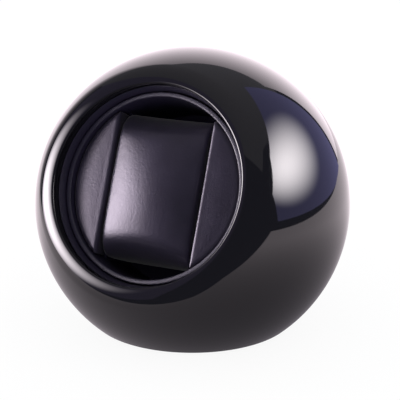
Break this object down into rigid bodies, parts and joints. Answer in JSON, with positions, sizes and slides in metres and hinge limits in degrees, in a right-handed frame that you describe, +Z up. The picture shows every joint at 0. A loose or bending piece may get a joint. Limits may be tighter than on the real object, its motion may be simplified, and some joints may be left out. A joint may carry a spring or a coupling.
{
  "type": "watch winder",
  "caption": "Ball-shaped single watch winder: gloss shell with a tilted round mouth, turning drum with padded cheeks and removable watch pillow, geared motor, rear controls.",
  "frame": {"origin": "on the table, under the middle of the bounding box", "axes": "+Z up, the mouth faces -Y and is tilted 24 degrees up, +X is to the right seen from the front"},
  "size_m": [0.165, 0.1572, 0.1465],
  "materials": {
    "gloss_black": "piano gloss, injection moulded ABS",
    "satin_black": "fine satin moulding",
    "black_leatherette": "soft PU leatherette with fine grain, satin",
    "black_rubber": "matt moulded rubber",
    "grey_plastic": "plain moulded ABS, unpainted inside part",
    "nylon_gear": "natural acetal",
    "steel": "bright zinc plated or ground steel",
    "bronze": "sintered bronze",
    "board_green": "solder mask on glass laminate",
    "red_lamp": "tinted lens",
    "red_lead": "PVC insulation",
    "black_lead": "PVC insulation"
  },
  "bodies": {
    "case": {"main_shell": "gloss_black", "rear_cover": "gloss_black", "cover_screws": "steel", "base_plate": "satin_black", "base_screws": "steel", "foot_ring": "black_rubber", "drum_housing": "satin_black", "housing_screws": "steel", "shaft_bush": "bronze", "thrust_washer": "nylon_gear", "motor_bracket": "steel", "bracket_dampers": "black_rubber", "bracket_screws": "steel", "gearbox_case": "grey_plastic", "motor_can": "steel", "motor_screws": "steel", "control_panel": "satin_black", "panel_screws": "steel", "circuit_board": "board_green", "control_chip": "satin_black", "rotary_switch": "grey_plastic", "rocker_frame": "satin_black", "direction_switch": "grey_plastic", "power_inlet": "satin_black", "indicator_lamp": "red_lamp", "lead_connector": "nylon_gear", "motor_lead_red": "red_lead", "motor_lead_black": "black_lead"},
    "drum": {"drum_cup": "satin_black", "drum_hub": "grey_plastic", "hub_screws": "steel", "drum_shaft": "steel", "retaining_clip": "steel", "drum_gear": "nylon_gear", "left_cheek_former": "grey_plastic", "right_cheek_former": "grey_plastic", "left_cheek_pad": "black_leatherette", "right_cheek_pad": "black_leatherette", "slot_pad": "black_leatherette"},
    "pillow": {"pillow_pad": "black_leatherette", "pillow_core": "grey_plastic"},
    "pinion": {"motor_shaft": "steel", "motor_pinion": "nylon_gear"},
    "knob": {"mode_knob": "gloss_black"},
    "rocker": {"rocker_button": "gloss_black"},
    "slider": {"direction_slider": "satin_black"}
  },
  "joints": [
    {"name": "drum_spin", "type": "hinge", "parent": "case", "child": "drum", "pos_m": [0, -0.00183, 0.064], "axis": [0, -0.9135, 0.4067], "continuous": true},
    {"name": "pinion_spin", "type": "hinge", "parent": "case", "child": "pinion", "pos_m": [-0.0321, -0.00183, 0.064], "axis": [0, -0.9135, 0.4067], "continuous": true},
    {"name": "pillow_pull", "type": "slide", "parent": "drum", "child": "pillow", "axis": [0, -0.9135, 0.4067], "range_m": [0, 0.055]},
    {"name": "mode_turn", "type": "hinge", "parent": "case", "child": "knob", "pos_m": [0.017, 0.06817, 0.064], "axis": [0, 1, 0], "range_deg": [-60, 60]},
    {"name": "power_rock", "type": "hinge", "parent": "case", "child": "rocker", "pos_m": [-0.018, 0.06757, 0.064], "axis": [1, 0, 0], "range_deg": [0, 16]},
    {"name": "direction_slide", "type": "slide", "parent": "case", "child": "slider", "axis": [1, 0, 0], "range_m": [-0.0025, 0.0025]}
  ],
  "couplings": [
    {"joint": "pinion_spin", "follows": "drum_spin", "ratio": -3}
  ]
}
